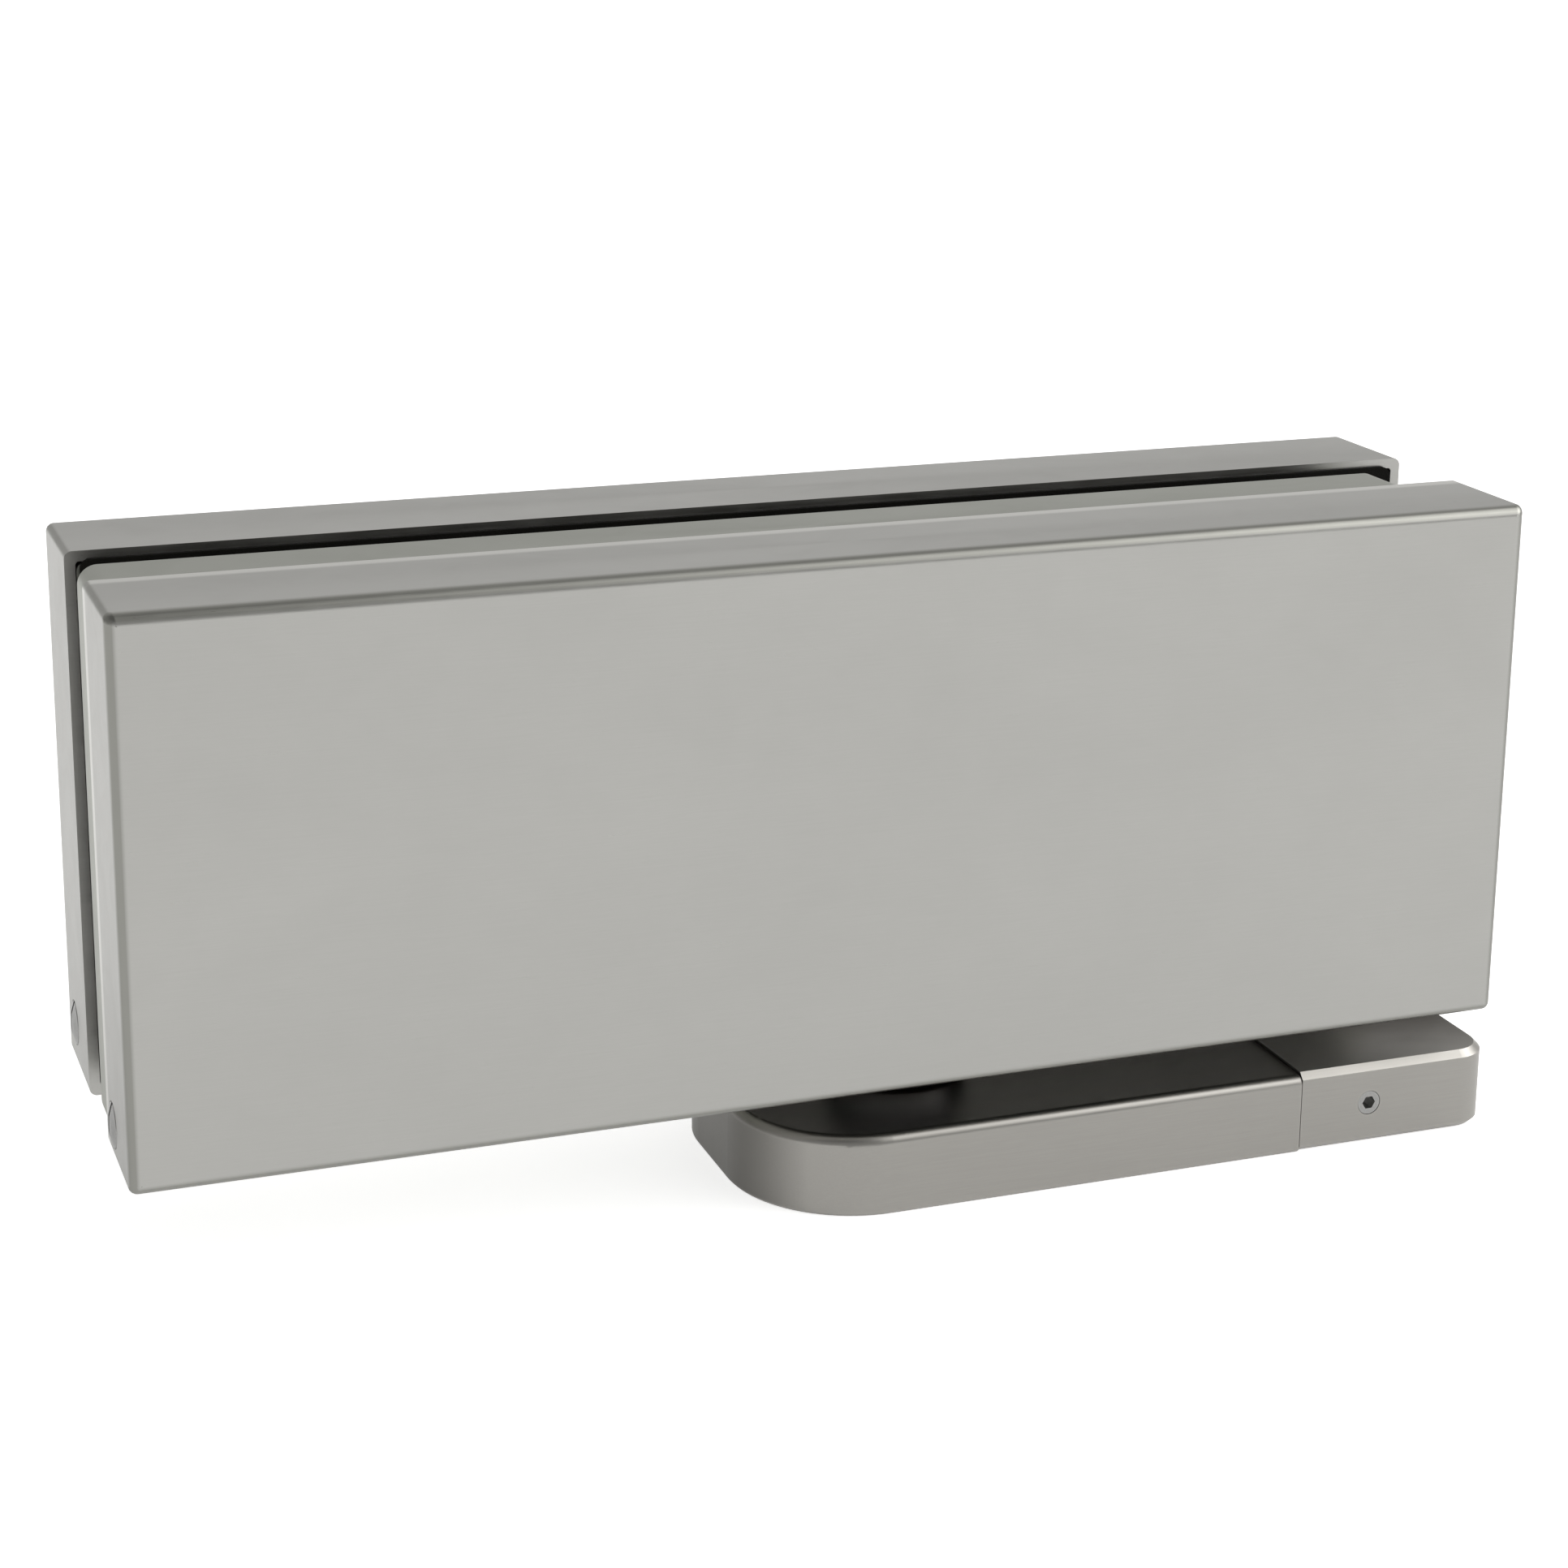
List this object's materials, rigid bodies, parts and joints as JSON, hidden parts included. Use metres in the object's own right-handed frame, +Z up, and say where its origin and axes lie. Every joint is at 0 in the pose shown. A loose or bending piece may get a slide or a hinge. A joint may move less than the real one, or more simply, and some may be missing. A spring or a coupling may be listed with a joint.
{
  "type": "glass door patch fitting",
  "caption": "Self-closing bottom patch fitting for a frameless glass door: satin covers over a clamp and a rack-and-pinion closer, turning on a low floor bar.",
  "frame": {"origin": "on the floor under the floor bar, on the vertical axis that the door turns about", "axes": "+X along the door towards the jamb end, where the floor bar's end block is; -Y is the front with the deeper cover; +Z up"},
  "size_m": [0.1673, 0.0444, 0.079],
  "materials": {
    "satin_cover": "satin, fine straight brushing along the length",
    "base_steel": "satin, softly rounded edges",
    "body_alloy": "machined",
    "pad": "matt, fine grained",
    "hard_steel": "ground and hardened",
    "spring_steel": "oil blackened",
    "bronze": "sintered, plain",
    "seal": "matt",
    "screw_steel": "plain",
    "black_screw": "blackened steel",
    "nylon": "natural"
  },
  "bodies": {
    "base": {"base_bar": "base_steel", "end_cover": "base_steel", "end_cover_screws": "screw_steel", "spindle_grub_screw": "black_screw", "spindle": "hard_steel"},
    "patch": {"hydraulic_body": "body_alloy", "front_cover": "satin_cover", "front_cover_screws": "screw_steel", "front_gasket": "pad", "lower_bush": "bronze", "shaft_seal": "seal", "retaining_ring": "spring_steel", "upper_bush": "bronze", "thrust_pad": "nylon", "spring_left": "spring_steel", "spring_right": "spring_steel", "cylinder_plug": "hard_steel", "plug_o_ring": "seal", "valve_o_rings": "seal", "oil_fill_plug": "black_screw", "gallery_plug": "black_screw"},
    "clamp": {"rear_clamp_plate": "body_alloy", "rear_cover": "satin_cover", "rear_cover_screws": "screw_steel", "rear_gasket": "pad", "clamp_screws": "black_screw", "clamp_washers": "screw_steel"},
    "piston": {"piston": "hard_steel", "piston_rings": "nylon", "check_ball_retainers": "screw_steel"},
    "check_ball_left": {"check_ball_left": "hard_steel"},
    "check_ball_right": {"check_ball_right": "hard_steel"},
    "speed_valve_left": {"speed_valve_left": "bronze"},
    "speed_valve_right": {"speed_valve_right": "bronze"}
  },
  "joints": [
    {"name": "door_swing", "type": "hinge", "parent": "base", "child": "patch", "pos_m": [0, 0, 0.02], "axis": [0, 0, 1], "range_deg": [-90, 90], "stiffness_Nm_per_rad": 4},
    {"name": "piston_slide", "type": "slide", "parent": "patch", "child": "piston", "axis": [1, 0, 0], "range_m": [-0.0102, 0.0102], "deforming": ["spring_left", "spring_right"]},
    {"name": "clamp_open", "type": "slide", "parent": "patch", "child": "clamp", "axis": [0, 1, 0], "range_m": [0, 0.004]},
    {"name": "left_valve_turn", "type": "hinge", "parent": "patch", "child": "speed_valve_left", "pos_m": [-0.02, -0.0145, 0.058], "axis": [0, 1, 0], "range_deg": [0, 720]},
    {"name": "right_valve_turn", "type": "hinge", "parent": "patch", "child": "speed_valve_right", "pos_m": [0.02, -0.0145, 0.058], "axis": [0, 1, 0], "range_deg": [0, 720]},
    {"name": "left_ball_lift", "type": "slide", "parent": "piston", "child": "check_ball_left", "axis": [-1, 0, 0], "range_m": [0, 0.001]},
    {"name": "right_ball_lift", "type": "slide", "parent": "piston", "child": "check_ball_right", "axis": [1, 0, 0], "range_m": [0, 0.001]}
  ],
  "couplings": [
    {"joint": "piston_slide", "follows": "door_swing", "m_per_rad": -0.0064}
  ]
}
